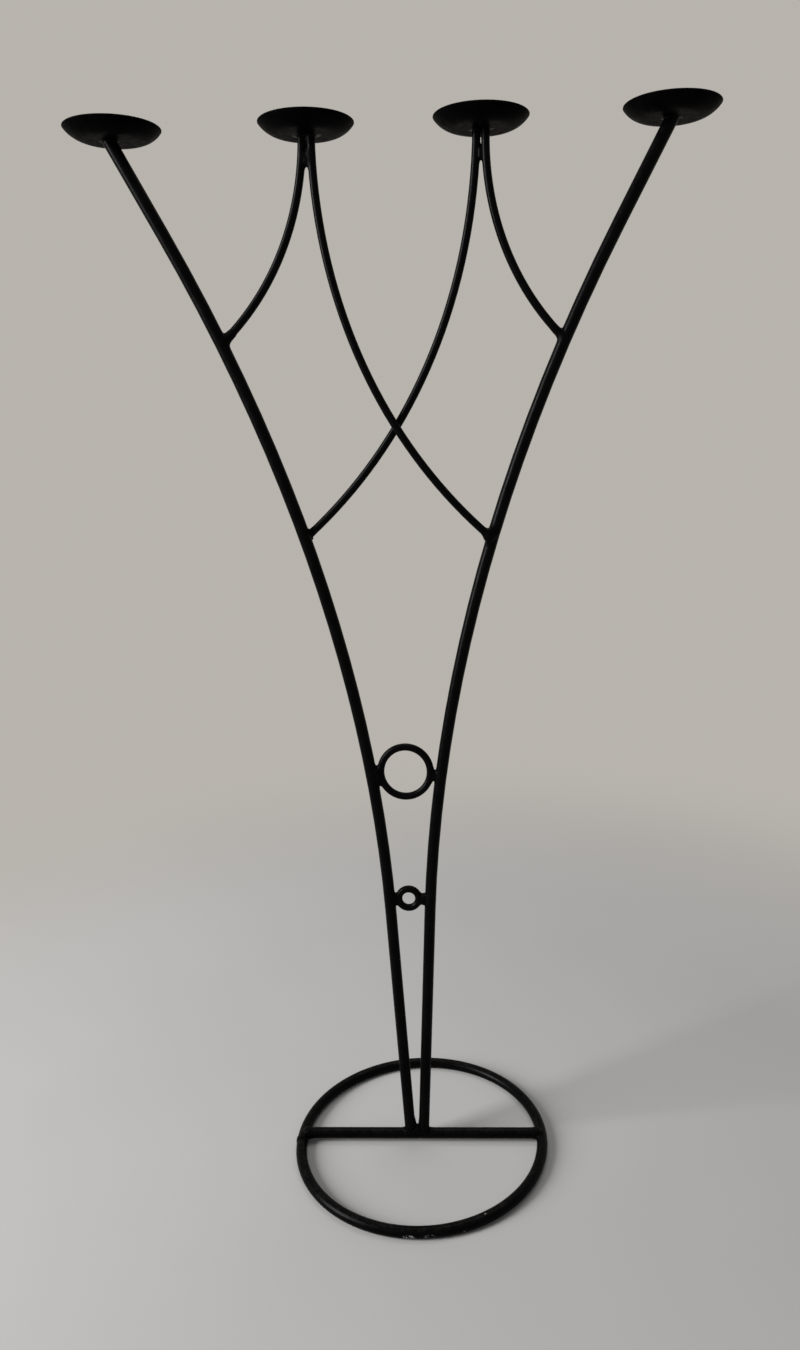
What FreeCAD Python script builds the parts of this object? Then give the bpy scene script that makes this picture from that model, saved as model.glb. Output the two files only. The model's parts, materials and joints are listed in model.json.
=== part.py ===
import FreeCAD, Part
import math
import os

# Candle stand for four candles, in millimetres, Z up, seen from the -Y side.
# The origin lies on the floor in the middle of the base ring.

V = FreeCAD.Vector
UP = V(0, 0, 1)
ALONG_BAR = V(1, 0, 0)
SIDES = {"left": -1, "right": 1}
FULL_TURN = 360.0
HALF_TURN = 180.0

# Round bar stock
ROD_DIAMETER = 8.0  # base ring, crossbar and stems
WIRE_DIAMETER = 5.0  # branches and the two rings between the stems
BEARING_GAP = 0.05  # play where a ring bears on a stem and only the weld joins them

# Base
BASE_RING_RADIUS = 91.0  # centre line
CROSSBAR_CLEARANCE = 2.5  # free height under the crossbar
CROSSBAR_SET_BACK = 2.2  # crossbar's axis behind the middle of the ring
CROSSBAR_WELD_THICKNESS = 0.9
SEAM_FROM_BAR = 1.9  # seam of the ring in front of the crossbar's left end
SEAM_GAP = 1.0  # between the ring's two ends
SEAM_WELD_LENGTH = 3.6
SEAM_WELD_THICKNESS = 0.6
SEAM_WELD_CLEARANCE = 0.3  # free height under the weld

# Upright frame: both stems are mirrored about its middle line
FRAME_SHIFT = -3.6  # middle line from the middle of the base ring, along the crossbar
STEM_FOOT_SPREAD = 4.66  # stem axis from the middle line, carried down to the floor
STEM_LOWER_LEAN = math.radians(2.77)
STEM_BEND_START = 193.5  # height above the floor
STEM_BEND_RADIUS = 1071.0
STEM_UPPER_LEAN = math.radians(27.8)
FOOT_SADDLE = 0.8  # how far the stems' feet are let down over the round of the crossbar
FOOT_WELD_THICKNESS = 1.1
FOOT_WELD_DROP = 0.7  # middle of the weld below the top of the crossbar

# Dishes
DISH_RIM_HEIGHTS = {"outer_left": 700.0, "inner_left": 700.0, "inner_right": 700.5, "outer_right": 703.0}
OUTER_DISH_INSETS = {"left": 2.4, "right": 0.0}  # from the stem's axis towards the middle
INNER_DISH_SPREADS = {"left": 46.9, "right": 55.1}  # from the middle line
DISH_RADIUS = 28.25
DISH_FLAT_RADIUS = 15.0
DISH_WALL_RISE = 6.8  # from the underside to the outer edge of the rim
DISH_SHEET = 1.2
OUTER_DISH_WELD_THICKNESS = 2.0
INNER_DISH_WELD_THICKNESS = 1.4

# Branches
BRANCH_SAG = math.radians(40)  # largest angle between a branch's chord and its ends
OUTER_BRANCH_FOOT = 577.5  # height at which its axis meets the stem's axis
OUTER_BRANCH_FOOT_SHIFTS = {"left": 0.9, "right": -0.9}  # of the two feet from that height
OUTER_BRANCH_LEANS = {"left": math.radians(1.5), "right": math.radians(-3.0)}  # outwards, at the dish
OUTER_BRANCH_WELD_LENGTH = 6.0  # along the branch from the stem's side
CROSS_BRANCH_FOOT = 457.4
CROSS_BRANCH_FOOT_SHIFTS = {"left": -0.8, "right": 1.1}
CROSS_BRANCH_LEANS = {"left": math.radians(-1.7), "right": math.radians(1.0)}  # inwards, at the dish
CROSS_BRANCH_TOP_OFFSET = 1.2  # in front of the frame for the left one, behind it for the right one
CROSSING_GAP = 0.3  # between the two long branches where they pass each other
CROSS_BRANCH_WELD_THICKNESS = 1.5
CROSS_BRANCH_WELD_SINK = 0.6  # middle of the weld inside the stem's surface
CROSS_BRANCH_WELD_HALF_LENGTH = 1.0  # along the stem
PAIR_GAP = 0.4  # between the two rods right under an inner dish
PAIR_WELD_THICKNESS = 4.6  # of the web, from front to back
PAIR_WELD_OVERLAP = 1.2  # of the web on each rod, at least
PAIR_WELD_DROP = 8.5  # top of the web below the dish
PAIR_WELD_HEIGHT = 8.0
BRANCH_TOP_OVERLAP = 2.0  # how far a rod is drawn into the dish before it is trimmed to the underside

# Rings between the stems: height of the middle, and the gap at the right stem that its weld bridges
RINGS = {"large_ring": (298.3, 0.95), "small_ring": (203.0, 1.95)}
RING_OVALITIES = {"large_ring": 1.05, "small_ring": 1.03}  # height against width
RING_WELD_HALF_LENGTHS = {
    "large_ring": {"left": 3.6, "right": 1.2},
    "small_ring": {"left": 2.2, "right": 1.6},
}
RING_WELD_THICKNESS = 0.6

ROD_RADIUS = ROD_DIAMETER / 2
WIRE_RADIUS = WIRE_DIAMETER / 2
CROSSBAR_HEIGHT = CROSSBAR_CLEARANCE + ROD_RADIUS
CROSSBAR_TOP = CROSSBAR_HEIGHT + ROD_RADIUS
PAIR_SPACING = WIRE_DIAMETER + PAIR_GAP

DISH_WALL_RADIUS = ((DISH_RADIUS - DISH_FLAT_RADIUS) ** 2 + DISH_WALL_RISE ** 2) / (2 * DISH_WALL_RISE)
DISH_WALL_ANGLE = math.asin((DISH_RADIUS - DISH_FLAT_RADIUS) / DISH_WALL_RADIUS)
DISH_HEIGHT = DISH_WALL_RISE + DISH_SHEET * math.cos(DISH_WALL_ANGLE)
DISH_RIM_ROUNDING = DISH_SHEET / 3


def bar_along(path, radius):
    """Round bar of one radius along a smooth path of edges."""
    first = path[0]
    start = first.valueAt(first.FirstParameter)
    circle = Part.Circle(start, first.tangentAt(first.FirstParameter), radius)
    return Part.Wire(path).makePipe(Part.Face(Part.Wire(circle.toShape())))


def rounded_bead(start, end, radius):
    """Bead with round ends between two points."""
    bead = Part.makeCylinder(radius, (end - start).Length, start, end - start)
    return bead.fuse([Part.makeSphere(radius, start), Part.makeSphere(radius, end)]).removeSplitter()


def point_along(edge, distance):
    """Point on an edge, a given length from its start."""
    return edge.valueAt(edge.getParameterByLength(distance))


def direction_along(edge, distance):
    """Direction of an edge, a given length from its start."""
    return edge.tangentAt(edge.getParameterByLength(distance))


def base_ring_piece(tube_radius, height, middle_angle, sweep):
    """Piece of a ring of the base's size, about a direction given in degrees from +X."""
    piece = Part.makeTorus(BASE_RING_RADIUS, tube_radius, UP * height, UP, 0, FULL_TURN, sweep)
    piece.rotate(V(0, 0, 0), UP, middle_angle - sweep / 2)
    return piece


def sweep_of(length):
    """Degrees of the base ring's centre line that a length takes up."""
    return math.degrees(length / BASE_RING_RADIUS)


# The stem's axis is a straight, one long bend and a straight


def bend_end():
    """Spread and height where the stem's bend ends and its upper straight begins."""
    spread = STEM_FOOT_SPREAD + STEM_BEND_START * math.tan(STEM_LOWER_LEAN)
    spread += STEM_BEND_RADIUS * (math.cos(STEM_LOWER_LEAN) - math.cos(STEM_UPPER_LEAN))
    height = STEM_BEND_START + STEM_BEND_RADIUS * (math.sin(STEM_UPPER_LEAN) - math.sin(STEM_LOWER_LEAN))
    return spread, height


def stem_lean(height):
    """Lean of the stem's axis from the vertical at a height."""
    if height <= STEM_BEND_START:
        return STEM_LOWER_LEAN
    if height >= bend_end()[1]:
        return STEM_UPPER_LEAN
    return math.asin(math.sin(STEM_LOWER_LEAN) + (height - STEM_BEND_START) / STEM_BEND_RADIUS)


def stem_spread(height):
    """Distance of the stem's axis from the frame's middle line at a height."""
    lean = stem_lean(height)
    if height <= STEM_BEND_START:
        return STEM_FOOT_SPREAD + height * math.tan(lean)
    end_spread, end_height = bend_end()
    if height >= end_height:
        return end_spread + (height - end_height) * math.tan(lean)
    return end_spread - STEM_BEND_RADIUS * (math.cos(lean) - math.cos(STEM_UPPER_LEAN))


def frame_point(from_middle, height, forward=0.0):
    """Point of the upright frame; forward counts towards the viewer."""
    return V(FRAME_SHIFT + from_middle, CROSSBAR_SET_BACK - forward, height)


def stem_point(side, height, forward=0.0):
    return frame_point(side * stem_spread(height), height, forward)


def stem_direction(side, height):
    return V(side * math.sin(stem_lean(height)), 0, math.cos(stem_lean(height)))


def stem(side, dish_bottom):
    """Stem with a level foot, drawn into the crossbar and into its dish, to be trimmed there."""
    end_height = bend_end()[1]
    foot = stem_point(side, CROSSBAR_HEIGHT)
    bend_start = stem_point(side, STEM_BEND_START)
    bend_middle = stem_point(side, (STEM_BEND_START + end_height) / 2)
    bend_finish = stem_point(side, end_height)
    top = stem_point(side, dish_bottom + ROD_RADIUS)
    path = [
        Part.makeLine(foot, bend_start),
        Part.Arc(bend_start, bend_middle, bend_finish).toShape(),
        Part.makeLine(bend_finish, top),
    ]
    block = 2 * ROD_DIAMETER
    block_corner = V(foot.x - block / 2, foot.y - block / 2, CROSSBAR_TOP - FOOT_SADDLE - block)
    below_foot = Part.makeBox(block, block, block, block_corner)
    return bar_along(path, ROD_RADIUS).cut(below_foot)


# Dishes: a flat round bottom and a wall that rises from its edge as an arc


def wall_point(angle, radius):
    return V(DISH_FLAT_RADIUS + radius * math.sin(angle), 0, DISH_WALL_RADIUS - radius * math.cos(angle))


def wall_arc(radius):
    points = [wall_point(DISH_WALL_ANGLE * share, radius) for share in (0, 0.5, 1)]
    return Part.Arc(*points).toShape()


def turned(edges, spot):
    """Solid turned about the upright axis of a dish from the edges of its half section."""
    profile = Part.Face(Part.Wire(Part.__sortEdges__(edges)))
    solid = profile.revolve(V(0, 0, 0), UP, FULL_TURN)
    solid.translate(spot)
    return solid


def dish_bottom(name):
    return DISH_RIM_HEIGHTS[name] - DISH_HEIGHT


def dish_spot(name):
    """Middle of the dish's underside."""
    place, side_name = name.split("_")
    if place == "outer":
        spread = stem_spread(dish_bottom(name)) - OUTER_DISH_INSETS[side_name]
    else:
        spread = INNER_DISH_SPREADS[side_name]
    return frame_point(SIDES[side_name] * spread, dish_bottom(name))


def dish(name):
    inside_radius = DISH_WALL_RADIUS - DISH_SHEET
    under_middle = V(0, 0, 0)
    floor_middle = V(0, 0, DISH_SHEET)
    rim_outside = wall_point(DISH_WALL_ANGLE, DISH_WALL_RADIUS)
    rim_inside = wall_point(DISH_WALL_ANGLE, inside_radius)
    section = [
        Part.makeLine(under_middle, wall_point(0, DISH_WALL_RADIUS)),
        wall_arc(DISH_WALL_RADIUS),
        Part.makeLine(rim_outside, rim_inside),
        wall_arc(inside_radius),
        Part.makeLine(wall_point(0, inside_radius), floor_middle),
        Part.makeLine(floor_middle, under_middle),
    ]
    spot = dish_spot(name)
    solid = turned(section, spot)
    half_way_up = spot.z + DISH_HEIGHT / 2
    rim_edges = [e for e in solid.Edges if len(e.Vertexes) == 1 and e.BoundBox.ZMin > half_way_up]
    return solid.makeFillet(DISH_RIM_ROUNDING, rim_edges)


def dish_space(name):
    """Everything from the dish's underside upwards: what the bars below are trimmed to."""
    rim = wall_point(DISH_WALL_ANGLE, DISH_WALL_RADIUS)
    clear_top = DISH_HEIGHT + ROD_DIAMETER
    section = [
        Part.makeLine(V(0, 0, 0), wall_point(0, DISH_WALL_RADIUS)),
        wall_arc(DISH_WALL_RADIUS),
        Part.makeLine(rim, V(rim.x, 0, clear_top)),
        Part.makeLine(V(rim.x, 0, clear_top), V(0, 0, clear_top)),
        Part.makeLine(V(0, 0, clear_top), V(0, 0, 0)),
    ]
    return turned(section, dish_spot(name))


# Branches: each is one arc from an inner dish to a stem


def bent_path(top, foot, lean):
    """Arc from a dish down to a stem; it leaves the dish with a lean towards its foot."""
    chord = foot - top
    seen = V(chord.x, 0, chord.z)
    end_angle = min(V(0, 0, -1).getAngle(seen) - lean, BRANCH_SAG)
    along = seen / seen.Length
    sags = along * along.z - UP
    sagitta = seen.Length / 2 * math.tan(end_angle / 2)
    return Part.Arc(top, (top + foot) / 2 + sags * (sagitta / sags.Length), foot).toShape()


def branch_top(name, towards_middle, forward=0.0):
    """End of a rod under an inner dish; the two rods lie side by side along the crossbar."""
    side = SIDES[name]
    from_middle = side * (INNER_DISH_SPREADS[name] - towards_middle * PAIR_SPACING / 2)
    return frame_point(from_middle, dish_bottom("inner_" + name) + BRANCH_TOP_OVERLAP, forward)


def outer_branch_path(name):
    side = SIDES[name]
    foot = stem_point(side, OUTER_BRANCH_FOOT + OUTER_BRANCH_FOOT_SHIFTS[name])
    return bent_path(branch_top(name, -1), foot, OUTER_BRANCH_LEANS[name])


def cross_branch_path(name, top_offset, foot_offset):
    """The branch from the left dish passes in front, the one from the right dish behind."""
    side = SIDES[name]
    top = branch_top(name, 1, -side * top_offset)
    foot_height = CROSS_BRANCH_FOOT + CROSS_BRANCH_FOOT_SHIFTS[name]
    foot = stem_point(-side, foot_height, -side * foot_offset)
    return bent_path(top, foot, CROSS_BRANCH_LEANS[name])


def cross_branch_foot_offset():
    """Offset at the stem that keeps the two long branches clear of each other where they cross."""
    left = cross_branch_path("left", 0, 0)
    right = cross_branch_path("right", 0, 0)
    crossing = left.distToShape(right)[1][0][0]
    start = left.valueAt(left.FirstParameter)
    chord = left.valueAt(left.LastParameter) - start
    share = (crossing - start).dot(chord) / chord.Length ** 2
    offset_there = (WIRE_DIAMETER + CROSSING_GAP) / 2
    return CROSS_BRANCH_TOP_OFFSET + (offset_there - CROSS_BRANCH_TOP_OFFSET) / share


# Rings between the stems: each fills the space at its height and bears on the left stem


def ring_reach(height, right_gap):
    """From a ring's middle to where its centre line comes nearest to a stem."""
    free_width = 2 * (stem_spread(height) * math.cos(stem_lean(height)) - ROD_RADIUS)
    return (free_width - BEARING_GAP - right_gap) / 2 - WIRE_RADIUS


def ring_middle(height, reach):
    to_axis = reach + WIRE_RADIUS + BEARING_GAP + ROD_RADIUS
    return frame_point(to_axis / math.cos(stem_lean(height)) - stem_spread(height), height)


def oval_ring(height, reach, ovality):
    """Wire ring that is a little higher than wide."""
    lean = stem_lean(height)
    half_width = reach / math.hypot(math.cos(lean), ovality * math.sin(lean))
    middle = ring_middle(height, reach)
    oval = Part.Ellipse(middle + UP * half_width * ovality, middle + ALONG_BAR * half_width, middle)
    return bar_along([oval.toShape()], WIRE_RADIUS)


def ring_weld(side, height, reach, gap, half_length):
    """Bead along the stem where the ring comes nearest to it."""
    lean = stem_lean(height)
    to_stem = V(side * math.cos(lean), 0, -math.sin(lean))
    nearest = ring_middle(height, reach) + to_stem * (reach + WIRE_RADIUS + gap / 2)
    run = stem_direction(side, height) * half_length
    return rounded_bead(nearest - run, nearest + run, WIRE_RADIUS + RING_WELD_THICKNESS)


parts = {}

# Base pieces
seam_forward = ROD_RADIUS + SEAM_FROM_BAR - CROSSBAR_SET_BACK
seam_angle = HALF_TURN + math.degrees(math.asin(seam_forward / BASE_RING_RADIUS))
ring_sweep = FULL_TURN - sweep_of(SEAM_GAP)
base_ring = base_ring_piece(ROD_RADIUS, ROD_RADIUS, seam_angle + HALF_TURN, ring_sweep)
parts["base_ring"] = base_ring

crossbar_half = BASE_RING_RADIUS - ROD_RADIUS / 2
crossbar_start = V(-crossbar_half, CROSSBAR_SET_BACK, CROSSBAR_HEIGHT)
crossbar = Part.makeCylinder(ROD_RADIUS, 2 * crossbar_half, crossbar_start, ALONG_BAR).cut(base_ring)
parts["base_crossbar"] = crossbar

seam_tube = ROD_RADIUS + SEAM_WELD_THICKNESS
seam_height = seam_tube + SEAM_WELD_CLEARANCE
seam_weld = base_ring_piece(seam_tube, seam_height, seam_angle, sweep_of(SEAM_WELD_LENGTH))
seam_weld = seam_weld.cut([base_ring, crossbar])
parts["base_seam_weld"] = seam_weld

for name, side in SIDES.items():
    weld_middle = V(side * (BASE_RING_RADIUS - ROD_RADIUS), CROSSBAR_SET_BACK, CROSSBAR_HEIGHT)
    weld = Part.makeSphere(ROD_RADIUS + CROSSBAR_WELD_THICKNESS, weld_middle)
    parts["crossbar_" + name + "_weld"] = weld.cut([base_ring, crossbar, seam_weld])

# Dishes and stems
spaces = {}
for name in DISH_RIM_HEIGHTS:
    parts[name + "_dish"] = dish(name)
    spaces[name] = dish_space(name)

stems = {}
for name, side in SIDES.items():
    outer = "outer_" + name
    stems[name] = stem(side, dish_bottom(outer)).cut([spaces[outer], crossbar])
    parts[name + "_stem"] = stems[name]
    weld = Part.makeSphere(ROD_RADIUS + OUTER_DISH_WELD_THICKNESS, stem_point(side, dish_bottom(outer)))
    parts[outer + "_dish_weld"] = weld.cut([spaces[outer], stems[name]])

foot_run = ALONG_BAR * stem_spread(CROSSBAR_TOP)
foot_middle = frame_point(0, CROSSBAR_TOP - FOOT_WELD_DROP)
foot_bead = rounded_bead(foot_middle - foot_run, foot_middle + foot_run, ROD_RADIUS + FOOT_WELD_THICKNESS)
parts["stem_foot_weld"] = foot_bead.cut([crossbar, stems["left"], stems["right"]])

# Rings between the stems
for name, (height, right_gap) in RINGS.items():
    reach = ring_reach(height, right_gap)
    ring = oval_ring(height, reach, RING_OVALITIES[name])
    parts[name] = ring
    for side_name, gap in (("left", BEARING_GAP), ("right", right_gap)):
        half_length = RING_WELD_HALF_LENGTHS[name][side_name]
        bead = ring_weld(SIDES[side_name], height, reach, gap, half_length)
        parts[name + "_" + side_name + "_weld"] = bead.cut([ring, stems[side_name]])

# Branches and their welds
foot_offset = cross_branch_foot_offset()
for name, side in SIDES.items():
    other = "right" if name == "left" else "left"
    space = spaces["inner_" + name]
    outer_path = outer_branch_path(name)
    cross_path = cross_branch_path(name, CROSS_BRANCH_TOP_OFFSET, foot_offset)
    outer_branch = bar_along([outer_path], WIRE_RADIUS).cut([space, stems[name]])
    cross_branch = bar_along([cross_path], WIRE_RADIUS).cut([space, stems[other]])
    parts[name + "_outer_branch"] = outer_branch
    parts[name + "_cross_branch"] = cross_branch

    foot = outer_path.valueAt(outer_path.LastParameter)
    up_branch = outer_path.tangentAt(outer_path.LastParameter) * -1
    collar_length = ROD_RADIUS + OUTER_BRANCH_WELD_LENGTH
    collar = Part.makeCone(ROD_RADIUS - BEARING_GAP, WIRE_RADIUS, collar_length, foot, up_branch)
    parts[name + "_outer_branch_weld"] = collar.cut([stems[name], outer_branch])

    bead_middle = point_along(cross_path, cross_path.Length - ROD_RADIUS + CROSS_BRANCH_WELD_SINK)
    foot_height = cross_path.valueAt(cross_path.LastParameter).z
    bead_run = stem_direction(-side, foot_height) * CROSS_BRANCH_WELD_HALF_LENGTH
    bead_radius = WIRE_RADIUS + CROSS_BRANCH_WELD_THICKNESS
    bead = rounded_bead(bead_middle - bead_run, bead_middle + bead_run, bead_radius)
    parts[name + "_cross_branch_weld"] = bead.cut([stems[other], cross_branch])

    dish_middle = dish_spot("inner_" + name)
    web_from_top = BRANCH_TOP_OVERLAP + PAIR_WELD_DROP + PAIR_WELD_HEIGHT / 2
    outer_rod = point_along(outer_path, web_from_top)
    cross_rod = point_along(cross_path, web_from_top)
    web_middle = (outer_rod + cross_rod) / 2
    web_gap = outer_rod.distanceToPoint(cross_rod) - WIRE_DIAMETER
    web_radius = max(PAIR_WELD_THICKNESS / 2, web_gap / 2 + PAIR_WELD_OVERLAP)
    web_run = direction_along(outer_path, web_from_top) * (PAIR_WELD_HEIGHT / 2 - web_radius)
    web = rounded_bead(web_middle - web_run, web_middle + web_run, web_radius)
    parts[name + "_pair_weld"] = web.cut([outer_branch, cross_branch])

    pair_run = ALONG_BAR * (PAIR_SPACING / 2)
    bead_radius = WIRE_RADIUS + INNER_DISH_WELD_THICKNESS
    bead = rounded_bead(dish_middle - pair_run, dish_middle + pair_run, bead_radius)
    parts["inner_" + name + "_dish_weld"] = bead.cut([space, outer_branch, cross_branch])

os.makedirs("parts", exist_ok=True)
for name, shape in parts.items():
    solids = shape.Solids
    if len(solids) != 1 or not solids[0].isValid():
        raise RuntimeError("%s has %d solids" % (name, len(solids)))
    solids[0].exportStep("parts/" + name + ".step")
    print("%-26s %10.1f mm3" % (name, solids[0].Volume))
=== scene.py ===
import json
import math
from itertools import product

import bmesh
import bpy
from mathutils import Matrix, Vector, noise
from mathutils.bvhtree import BVHTree


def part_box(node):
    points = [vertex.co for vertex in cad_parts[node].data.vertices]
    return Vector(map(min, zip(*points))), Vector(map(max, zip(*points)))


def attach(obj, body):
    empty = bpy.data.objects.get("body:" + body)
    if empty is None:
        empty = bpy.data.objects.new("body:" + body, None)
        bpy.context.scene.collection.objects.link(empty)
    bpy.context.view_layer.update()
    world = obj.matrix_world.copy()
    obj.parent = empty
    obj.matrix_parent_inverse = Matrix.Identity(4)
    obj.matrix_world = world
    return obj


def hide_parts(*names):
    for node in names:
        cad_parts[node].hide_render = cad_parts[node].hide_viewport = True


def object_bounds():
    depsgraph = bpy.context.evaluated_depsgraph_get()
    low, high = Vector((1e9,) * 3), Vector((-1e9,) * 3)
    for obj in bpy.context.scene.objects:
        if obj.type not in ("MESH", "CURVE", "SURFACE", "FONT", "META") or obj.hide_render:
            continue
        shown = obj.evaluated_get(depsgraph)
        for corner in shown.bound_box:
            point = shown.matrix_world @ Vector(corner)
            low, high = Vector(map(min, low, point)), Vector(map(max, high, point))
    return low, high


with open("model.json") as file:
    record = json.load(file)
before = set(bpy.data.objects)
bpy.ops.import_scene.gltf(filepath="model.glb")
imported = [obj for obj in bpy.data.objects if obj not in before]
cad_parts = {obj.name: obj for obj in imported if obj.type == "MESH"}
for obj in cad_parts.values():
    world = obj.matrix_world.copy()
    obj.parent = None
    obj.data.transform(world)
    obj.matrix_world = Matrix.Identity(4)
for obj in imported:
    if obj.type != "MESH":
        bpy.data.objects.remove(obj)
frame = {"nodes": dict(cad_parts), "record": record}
cad_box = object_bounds()
scene = bpy.context.scene
nodes = frame["nodes"]
MM = 0.001  # in the frame's metres

# Photograph and the camera that took it, in pixels, metres and degrees
PHOTO_WIDTH = 800
PHOTO_HEIGHT = 1350
FOCAL_LENGTH = 980.1
OPTICAL_CENTRE = (436.2, 688.8)
CAMERA_PLACE = Vector((0.0396, -0.6320, 0.5263))
CAMERA_TURN = 1.928  # to the left of straight ahead
CAMERA_TILT = 14.947  # downwards
CAMERA_ROLL = -1.260
CAMERA_CLIP = 0.01  # nearest distance that it sees
SENSOR = 36.0  # in millimetres

# Room, lengths in metres
FLOOR_RADIUS = 4.0
FLOOR_CORNERS = 96
FLOOR_CLEAR = 0.30  # distance from the stand at which the floor begins to fade
FLOOR_GONE = 0.90  # and at which it has the backdrop's colour
FLOOR_COLOUR = (0.405, 0.40, 0.393, 1)
FLOOR_SHADE = 0.97  # share of that colour in its darker clouds
FLOOR_CLOUD_SIZE = 0.25
FLOOR_ROUGHNESS = 0.9
FLOOR_SPECULAR = 0.05
BACKDROP_COLOUR = (0.48, 0.455, 0.42, 1)
ROOM_LIGHT = 0.28

# Lamps: place, aim, width and height in metres, power in watts
LAMPS = {
    "window": ((-1.9, -0.7, 1.1), (0, 0, 0.35), 0.8, 1.4, 82),
    "ceiling": ((0.1, 0.6, 2.2), (0, 0, 0), 1.4, 1.0, 10),
}

# Black paint: lighter and darker patches, dust that settles from above, bare steel where it is worn
PAINT_DARK = (0.0006, 0.0006, 0.0007, 1)
PAINT_LIGHT = (0.0013, 0.0013, 0.0014, 1)
DUST_COLOUR = (0.020, 0.019, 0.018, 1)
STEEL_COLOUR = (0.26, 0.255, 0.25, 1)
PATCH_SIZE = 12 * MM
GLOSS_SIZE = 4 * MM
PEEL_SIZE = 1.1 * MM
DUST_SIZE = 3 * MM
CHIP_SIZE = 1.2 * MM

# Noise: its detail, and the part of it over which each effect sets in
NOISE_DETAIL = 3
DUST_DETAIL = 5
CHIP_DETAIL = 1
PATCH_RANGE = (0.35, 0.65)
CLOUD_RANGE = (0.3, 0.7)  # for the gloss and the floor
DUST_RANGE = (0.42, 0.75)
CHIP_RANGE = (0.53, 0.57)
DUST_FACING = (0.55, 1.0)  # upward part of the normal over which dust sets in
DUST_MOST = 0.25  # share of the dust's colour where it lies thickest
DULLER = 0.07  # roughness added in the dullest places
GLOSSIER = 0.05  # roughness taken off in the glossiest places

# Paint of each slot: roughness, depth of the pebbled skin and strength of the reflections
PAINT_LOOKS = {
    "painted_rod": (0.30, 0.05 * MM, 0.04),
    "painted_sheet": (0.42, 0.05 * MM, 0.008),
    "painted_weld": (0.36, 0.10 * MM, 0.028),
}

# Spots on the base ring where the paint is chipped: direction from the middle in degrees from +X,
# height above the floor and half the length of the worn area in millimetres
WORN_SPOTS = (
    (267, 3.6, 5.5),
    (275.5, 4.0, 4.5),
    (290.1, 3.6, 1.5),
    (300.6, 7.9, 1.0),
    (148, 3.5, 5.0),
    (40, 4.0, 4.0),
)
WORN_SQUASH = 3.0  # how much lower than long a worn area is
WORN_CORE = 0.5  # part of the half length that is fully worn
BASE_RING_RADIUS = 91 * MM  # centre line
BASE_ROD_RADIUS = 4 * MM

# Looks of a weld in millimetres: width of the fillet, how far the bead lies inside its CAD solid
# or, with a minus, outside it, and the height and size of its lumps
PLAIN_WELD = (0.5, 0.6, 0.2, 2.0)
WELD_LOOKS = {
    "base_seam_weld": (0.3, 0.35, 0.25, 1.8),
    "crossbar_left_weld": (0.6, 0.6, 0.4, 1.8),
    "crossbar_right_weld": (0.6, 0.7, 0.2, 2.5),
    "stem_foot_weld": (0.6, 1.1, 0.2, 2.5),
    "left_cross_branch_weld": (1.0, 1.3, 0.2, 2.5),
    "right_cross_branch_weld": (0.7, 1.4, 0.2, 2.5),
    "left_outer_branch_weld": (0.9, 0.8, 0.15, 2.5),
    "right_outer_branch_weld": (0.7, 1.2, 0.15, 2.5),
    "left_pair_weld": (0.9, 0.3, 0.15, 2.0),
    "right_pair_weld": (0.2, 0.0, 0.15, 2.0),
    "outer_left_dish_weld": (0.3, 1.7, 0.1, 2.0),
    "outer_right_dish_weld": (0.3, 1.7, 0.1, 2.0),
    "inner_left_dish_weld": (0.65, 1.3, 0.1, 2.0),
    "inner_right_dish_weld": (0.2, 1.3, 0.1, 2.0),
    "large_ring_left_weld": (0.6, -0.3, 0.5, 1.8),
    "large_ring_right_weld": (0.6, 0.6, 0.3, 1.8),
    "small_ring_right_weld": (0.6, 0.4, 0.25, 2.0),
}
WELD_MARGIN = 1.5 * MM  # room around the bead for its fillets
WELD_SINK = 0.06 * MM  # how far the skin is sunk towards the nearest piece, so that its edge dips below it
WELD_CLOSE = 0.01 * MM  # gap that counts as none
WELD_STEP = 0.9  # part of the gap that one step towards the weld takes
WELD_SUBDIVISIONS = 5  # of the ball that is shrunk onto the weld
LUMP_REACH = 2  # fillet widths over which the lumps fade out beside the bead
HEART_DEPTH = 0.6 * MM  # of a weld's heart inside the piece that carries the others
HEART_STEPS = 40  # rounds in which the heart moves halfway to each piece

# Ways out of a solid, in no special direction
WAYS_OUT = [
    Vector(way).normalized()
    for way in ((0.37, 0.61, 0.70), (-0.64, 0.29, 0.71), (0.23, -0.83, 0.51))
]


def add_camera():
    """Camera where the photograph was taken from, with its framing."""
    data = bpy.data.cameras.new("camera")
    long_side = max(PHOTO_WIDTH, PHOTO_HEIGHT)
    data.sensor_width = SENSOR
    data.lens = SENSOR * FOCAL_LENGTH / long_side
    data.shift_x = (PHOTO_WIDTH / 2 - OPTICAL_CENTRE[0]) / long_side
    data.shift_y = (OPTICAL_CENTRE[1] - PHOTO_HEIGHT / 2) / long_side
    data.clip_start = CAMERA_CLIP
    camera = bpy.data.objects.new("camera", data)
    turn = Matrix.Rotation(math.radians(CAMERA_TURN), 4, "Z")
    tilt = Matrix.Rotation(math.radians(90 - CAMERA_TILT), 4, "X")
    roll = Matrix.Rotation(math.radians(CAMERA_ROLL), 4, "Z")
    camera.matrix_world = Matrix.Translation(CAMERA_PLACE) @ turn @ tilt @ roll
    scene.collection.objects.link(camera)
    scene.camera = camera


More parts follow.
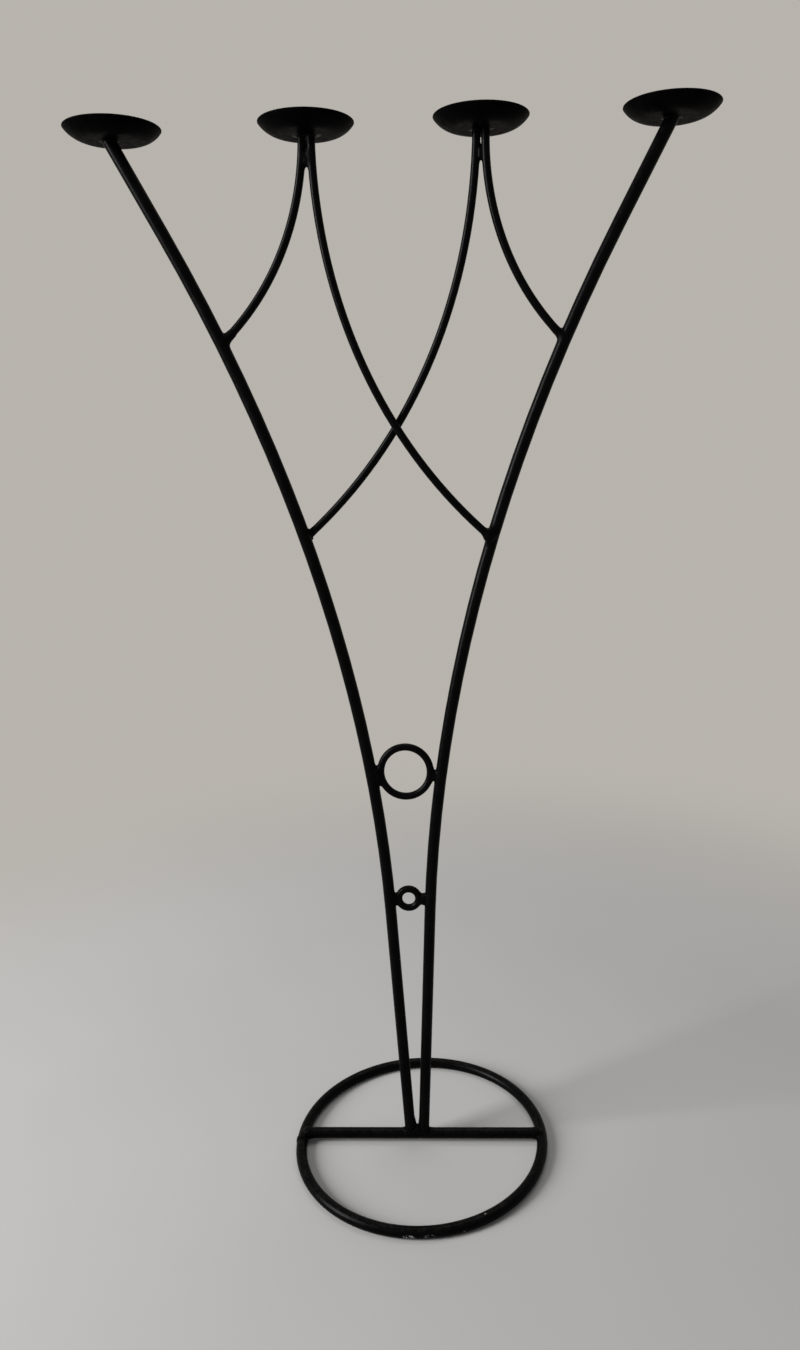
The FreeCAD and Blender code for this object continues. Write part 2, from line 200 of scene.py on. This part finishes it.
class Shader:
    """A material's node tree, with short calls to add and link its nodes."""

    # Places of the colour sockets on the mix node, which has others of the same names
    MIX_FIRST = 6
    MIX_SECOND = 7
    MIX_RESULT = 2

    def __init__(self, name):
        self.material = bpy.data.materials.new(name)
        self.material.use_nodes = True
        self.tree = self.material.node_tree
        self.surface = self.tree.nodes["Principled BSDF"]

    def add(self, kind, **values):
        node = self.tree.nodes.new(kind)
        for name, value in values.items():
            setattr(node, name, value)
        return node

    def link(self, source, target):
        self.tree.links.new(source, target)

    def position(self):
        return self.add("ShaderNodeTexCoord").outputs["Object"]

    def noise(self, size, detail=NOISE_DETAIL):
        """Noise with features of about this size in metres."""
        node = self.add("ShaderNodeTexNoise")
        node.inputs["Scale"].default_value = 1 / size
        node.inputs["Detail"].default_value = detail
        self.link(self.position(), node.inputs["Vector"])
        return node.outputs["Fac"]

    def spread(self, source, low, high, start=0.0, end=1.0):
        """Maps low..high of a value to start..end, smoothly and no further."""
        node = self.add("ShaderNodeMapRange", interpolation_type="SMOOTHSTEP")
        for socket, value in zip(("From Min", "From Max", "To Min", "To Max"), (low, high, start, end)):
            node.inputs[socket].default_value = value
        self.link(source, node.inputs["Value"])
        return node.outputs["Result"]

    def combine(self, operation, first, second):
        """Two values put together by an operation of the maths node."""
        node = self.add("ShaderNodeMath", operation=operation)
        self.link(first, node.inputs[0])
        self.link(second, node.inputs[1])
        return node.outputs[0]

    def upward(self, low, high):
        """How far the surface faces upwards, from none at the low to all at the high part of the normal."""
        parts = self.add("ShaderNodeSeparateXYZ")
        self.link(self.add("ShaderNodeNewGeometry").outputs["Normal"], parts.inputs[0])
        return self.spread(parts.outputs["Z"], low, high)

    def worn(self, spots):
        """One at the middle of the nearest of these spots on the base ring, none outside all of them."""
        squash = self.add("ShaderNodeVectorMath", operation="MULTIPLY")
        self.link(self.position(), squash.inputs[0])
        squash.inputs[1].default_value = (1, 1, WORN_SQUASH)
        shares = []
        for direction, height, half_length in spots:
            turn = math.radians(direction)
            above_middle = height * MM - BASE_ROD_RADIUS
            radius = BASE_RING_RADIUS + math.sqrt(BASE_ROD_RADIUS ** 2 - above_middle ** 2)
            distance = self.add("ShaderNodeVectorMath", operation="DISTANCE")
            self.link(squash.outputs[0], distance.inputs[0])
            across = radius * math.cos(turn), radius * math.sin(turn)
            distance.inputs[1].default_value = (*across, height * MM * WORN_SQUASH)
            edge = half_length * MM
            shares.append(self.spread(distance.outputs["Value"], WORN_CORE * edge, edge, 1.0, 0.0))
        most = shares[0]
        for share in shares[1:]:
            most = self.combine("MAXIMUM", most, share)
        return most

    def mix(self, share, first, second):
        """Mix of two colours, each a socket or a plain colour."""
        node = self.add("ShaderNodeMix", data_type="RGBA")
        self.link(share, node.inputs["Factor"])
        for place, value in ((self.MIX_FIRST, first), (self.MIX_SECOND, second)):
            socket = node.inputs[place]
            if isinstance(value, tuple):
                socket.default_value = value
            else:
                self.link(value, socket)
        return node.outputs[self.MIX_RESULT]

    def bump(self, height, depth):
        """Bumps of a depth in metres."""
        node = self.add("ShaderNodeBump")
        node.inputs["Strength"].default_value = 1.0
        node.inputs["Distance"].default_value = depth
        self.link(height, node.inputs["Height"])
        self.link(node.outputs["Normal"], self.surface.inputs["Normal"])


def painted(name, roughness, peel, specular):
    """Satin black paint: faint patches, uneven gloss, a slightly pebbled skin, dust and chipped spots."""
    shader = Shader(name)
    surface = shader.surface.inputs
    patches = shader.spread(shader.noise(PATCH_SIZE), *PATCH_RANGE)
    paint = shader.mix(patches, PAINT_DARK, PAINT_LIGHT)
    specks = shader.spread(shader.noise(DUST_SIZE, DUST_DETAIL), *DUST_RANGE, 0, DUST_MOST)
    settled = shader.combine("MULTIPLY", shader.upward(*DUST_FACING), specks)
    paint = shader.mix(settled, paint, DUST_COLOUR)
    flakes = shader.spread(shader.noise(CHIP_SIZE, CHIP_DETAIL), *CHIP_RANGE)
    chipped = shader.combine("MULTIPLY", shader.worn(WORN_SPOTS), flakes)
    shader.link(shader.mix(chipped, paint, STEEL_COLOUR), surface["Base Color"])
    gloss = shader.spread(shader.noise(GLOSS_SIZE), *CLOUD_RANGE, roughness - GLOSSIER, roughness + DULLER)
    shader.link(gloss, surface["Roughness"])
    surface["Specular IOR Level"].default_value = specular
    shader.bump(shader.noise(PEEL_SIZE), peel)
    return shader.material


PAINTS = {name: painted(name, *looks) for name, looks in PAINT_LOOKS.items()}

# Pieces that each weld joins, the one that carries the others first
WELD_JOINS = {
    "base_seam_weld": ["base_ring"],
    "stem_foot_weld": ["base_crossbar", "left_stem", "right_stem"],
}
for side, other in (("left", "right"), ("right", "left")):
    pair = [side + "_outer_branch", side + "_cross_branch"]
    WELD_JOINS["crossbar_" + side + "_weld"] = ["base_ring", "base_crossbar"]
    WELD_JOINS["large_ring_" + side + "_weld"] = [side + "_stem", "large_ring"]
    WELD_JOINS["small_ring_" + side + "_weld"] = [side + "_stem", "small_ring"]
    WELD_JOINS[side + "_outer_branch_weld"] = [side + "_stem", side + "_outer_branch"]
    WELD_JOINS[side + "_cross_branch_weld"] = [other + "_stem", side + "_cross_branch"]
    WELD_JOINS[side + "_pair_weld"] = pair
    WELD_JOINS["outer_" + side + "_dish_weld"] = ["outer_" + side + "_dish", side + "_stem"]
    WELD_JOINS["inner_" + side + "_dish_weld"] = ["inner_" + side + "_dish"] + pair


def surface_of(node):
    """Search tree of a CAD piece's surface."""
    places = [v.co for v in node.data.vertices]
    return BVHTree.FromPolygons(places, [tuple(f.vertices) for f in node.data.polygons])


SURFACES = {name: surface_of(node) for name, node in nodes.items()}


def gap_to(surface, place):
    """Distance from a point to a surface."""
    return surface.find_nearest(place)[3]


def walls_on(way, surface, place):
    """Number of walls of a surface on the way out from a point."""
    walls = 0
    spot = surface.ray_cast(place, way)[0]
    while spot:
        walls += 1
        spot = surface.ray_cast(spot + way * WELD_CLOSE, way)[0]
    return walls


def inside(surface, place):
    """Whether a point lies inside a closed surface.

    A ray along an edge can miscount, so all ways out have to agree.
    """
    return all(walls_on(way, surface, place) % 2 == 1 for way in WAYS_OUT)


def weld_heart(name, joined):
    """Point that a weld's skin faces: where its pieces meet, a little inside the one that carries them.

    The web between a pair of rods and the weld round the ring's seam face their own middle.
    """
    low, high = (Vector(corner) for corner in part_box(name))
    heart = (low + high) / 2
    if name.endswith("_pair_weld") or len(joined) == 1:
        return heart
    for _ in range(HEART_STEPS):
        for piece in joined:
            heart = (heart + SURFACES[piece].find_nearest(heart)[0]) / 2
    spot, outwards = SURFACES[joined[0]].find_nearest(heart)[:2]
    return spot - outwards * HEART_DEPTH


def weld_shape(name, joined, fillet, inset, lump, lump_size):
    """Lumpy skin of a weld bead that runs out into the pieces it joins in a soft fillet."""
    low, high = (Vector(corner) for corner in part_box(name))
    heart = weld_heart(name, joined)
    corners = [Vector(corner) for corner in product(*zip(low, high))]
    reach = max((corner - heart).length for corner in corners) + WELD_MARGIN
    trees = [SURFACES[piece] for piece in joined]
    lowest = cad_box[0][2]

    def bead_gap(place):
        """Distance to the bead's solid, less than nothing inside it."""
        gap = gap_to(SURFACES[name], place)
        in_box = all(a < value < b for a, value, b in zip(low, place, high))
        return -gap if in_box and inside(SURFACES[name], place) else gap

    def height(place):
        """Distance to the soft union of the pieces and the bead, less the lumps."""
        gaps = [gap_to(tree, place) for tree in trees]
        gaps.append(bead_gap(place) + inset)
        nearest = min(gaps)
        union = nearest - fillet * math.log(sum(math.exp((nearest - gap) / fillet) for gap in gaps))
        on_bead = max(0.0, 1 - max(0.0, gaps[-1]) / (LUMP_REACH * fillet))
        return union - on_bead * lump * noise.noise(place / lump_size)

    shape = bmesh.new()
    bmesh.ops.create_icosphere(shape, subdivisions=WELD_SUBDIVISIONS, radius=1)
    for vertex in shape.verts:
        outwards = vertex.co.normalized()
        distance = reach
        vertex.co = heart + outwards * distance
        if not any(inside(tree, vertex.co) for tree in trees):
            gap = height(vertex.co)
            while gap > WELD_CLOSE and distance > WELD_CLOSE:
                distance -= WELD_STEP * gap
                vertex.co = heart + outwards * distance
                gap = height(vertex.co)
            nearest = min(trees, key=lambda tree: gap_to(tree, vertex.co))
            vertex.co -= nearest.find_nearest(vertex.co)[1] * WELD_SINK
        vertex.co.z = max(vertex.co.z, lowest)
    for face in shape.faces:
        face.smooth = True
    return shape


def add_weld(name, joined, looks):
    """Bead that is shown in place of a weld's CAD solid."""
    mesh = bpy.data.meshes.new(name + "_bead")
    shape = weld_shape(name, joined, *(size * MM for size in looks))
    shape.to_mesh(mesh)
    shape.free()
    mesh.materials.append(PAINTS["painted_weld"])
    piece = bpy.data.objects.new(name + "_bead", mesh)
    scene.collection.objects.link(piece)
    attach(piece, "root")
    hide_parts(name)


def add_floor():
    """Round pale floor that fades into the backdrop's colour away from the stand."""
    mesh = bpy.data.meshes.new("floor")
    turns = [2 * math.pi * k / FLOOR_CORNERS for k in range(FLOOR_CORNERS)]
    rim = [(FLOOR_RADIUS * math.cos(turn), FLOOR_RADIUS * math.sin(turn), 0) for turn in turns]
    mesh.from_pydata(rim, [], [list(range(FLOOR_CORNERS))])
    floor = bpy.data.objects.new("floor", mesh)
    scene.collection.objects.link(floor)
    shader = Shader("floor")
    surface = shader.surface.inputs
    cloud = shader.spread(shader.noise(FLOOR_CLOUD_SIZE), *CLOUD_RANGE)
    darker = tuple(FLOOR_SHADE * c for c in FLOOR_COLOUR[:3]) + (1,)
    shader.link(shader.mix(cloud, FLOOR_COLOUR, darker), surface["Base Color"])
    surface["Roughness"].default_value = FLOOR_ROUGHNESS
    surface["Specular IOR Level"].default_value = FLOOR_SPECULAR
    backdrop = shader.add("ShaderNodeEmission")
    backdrop.inputs["Color"].default_value = BACKDROP_COLOUR
    distance = shader.add("ShaderNodeVectorMath", operation="LENGTH")
    shader.link(shader.position(), distance.inputs[0])
    far = shader.spread(distance.outputs["Value"], FLOOR_CLEAR, FLOOR_GONE)
    fade = shader.add("ShaderNodeMixShader")
    shader.link(far, fade.inputs[0])
    shader.link(shader.surface.outputs[0], fade.inputs[1])
    shader.link(backdrop.outputs[0], fade.inputs[2])
    shader.link(fade.outputs[0], shader.tree.nodes["Material Output"].inputs["Surface"])
    mesh.materials.append(shader.material)


def add_room():
    """Even room light, and a pale backdrop for what looks past the stand."""
    world = bpy.data.worlds.new("room")
    scene.world = world
    world.use_nodes = True
    tree = world.node_tree
    light = tree.nodes["Background"]
    light.inputs["Color"].default_value = (1, 1, 1, 1)
    light.inputs["Strength"].default_value = ROOM_LIGHT
    backdrop = tree.nodes.new("ShaderNodeBackground")
    backdrop.inputs["Color"].default_value = BACKDROP_COLOUR
    path = tree.nodes.new("ShaderNodeLightPath")
    seen = path.outputs["Is Camera Ray"]
    for kind in ("Is Glossy Ray", "Is Transmission Ray"):
        either = tree.nodes.new("ShaderNodeMath")
        either.operation = "MAXIMUM"
        tree.links.new(seen, either.inputs[0])
        tree.links.new(path.outputs[kind], either.inputs[1])
        seen = either.outputs[0]
    mix = tree.nodes.new("ShaderNodeMixShader")
    tree.links.new(seen, mix.inputs[0])
    tree.links.new(light.outputs[0], mix.inputs[1])
    tree.links.new(backdrop.outputs[0], mix.inputs[2])
    tree.links.new(mix.outputs[0], tree.nodes["World Output"].inputs["Surface"])


def add_lamp(name, place, target, width, height, power):
    """Soft rectangular lamp that faces its target."""
    data = bpy.data.lights.new(name, "AREA")
    data.shape = "RECTANGLE"
    data.size = width
    data.size_y = height
    data.energy = power
    lamp = bpy.data.objects.new(name, data)
    aim = (Vector(target) - Vector(place)).to_track_quat("-Z", "Y")
    lamp.matrix_world = Matrix.Translation(place) @ aim.to_matrix().to_4x4()
    scene.collection.objects.link(lamp)


add_camera()
add_floor()
add_room()
for name, lamp in LAMPS.items():
    add_lamp(name, *lamp)

for part in frame["record"]["subparts"]:
    mesh = nodes[part["node"]].data
    mesh.materials.clear()
    mesh.materials.append(PAINTS[part["material_slot"]])

for name, joined in WELD_JOINS.items():
    add_weld(name, joined, WELD_LOOKS.get(name, PLAIN_WELD))

scene.view_settings.view_transform = "Standard"
